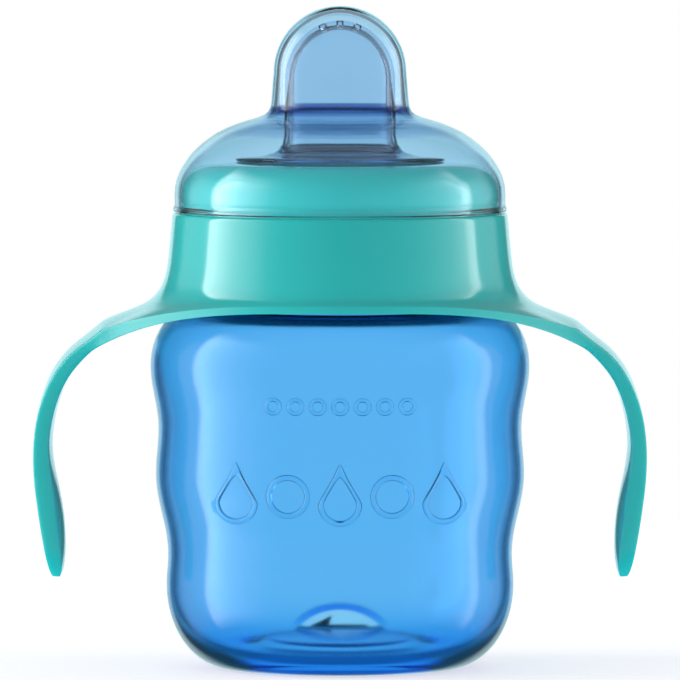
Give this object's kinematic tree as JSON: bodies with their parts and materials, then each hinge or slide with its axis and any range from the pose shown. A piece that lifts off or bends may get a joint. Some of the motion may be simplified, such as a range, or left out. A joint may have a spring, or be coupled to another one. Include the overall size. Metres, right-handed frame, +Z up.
{
  "type": "sippy cup",
  "caption": "Trainer cup with handles on a collar, a screw lid with a soft valved spout, and a clear press-on hygiene cap.",
  "frame": {"origin": "centre of the base on the resting plane", "axes": "+Z up along the cup's axis, the handles along X, the front towards -Y"},
  "size_m": [0.1166, 0.072, 0.1258],
  "materials": {
    "clear_blue_plastic": "translucent blue polypropylene, glossy",
    "green_plastic": "opaque sea-green polypropylene, glossy",
    "clear_green_plastic": "sea-green polypropylene, glossy",
    "clear_silicone": "clear silicone, satin",
    "white_plastic": "white polypropylene",
    "valve_silicone": "frosted silicone",
    "clear_cap_plastic": "transparent pale blue polypropylene, glossy"
  },
  "bodies": {
    "cup": {"cup_body": "clear_blue_plastic"},
    "handles": {"handle_ring": "green_plastic"},
    "lid": {"screw_ring": "clear_green_plastic", "spout": "clear_silicone", "valve_body": "white_plastic", "valve_membrane": "valve_silicone"},
    "cap": {"hygiene_cap": "clear_cap_plastic"}
  },
  "joints": [
    {"name": "lid_rise", "type": "slide", "parent": "cup", "child": "handles", "axis": [0, 0, 1], "range_m": [0, 0.0075]},
    {"name": "lid_turn", "type": "hinge", "parent": "handles", "child": "lid", "pos_m": [0, 0, 0.08], "axis": [0, 0, 1], "range_deg": [0, 540]},
    {"name": "cap_lift", "type": "slide", "parent": "lid", "child": "cap", "axis": [0, 0, 1], "range_m": [0, 0.04]}
  ],
  "couplings": [
    {"joint": "lid_rise", "follows": "lid_turn", "m_per_rad": 0.00079577}
  ]
}
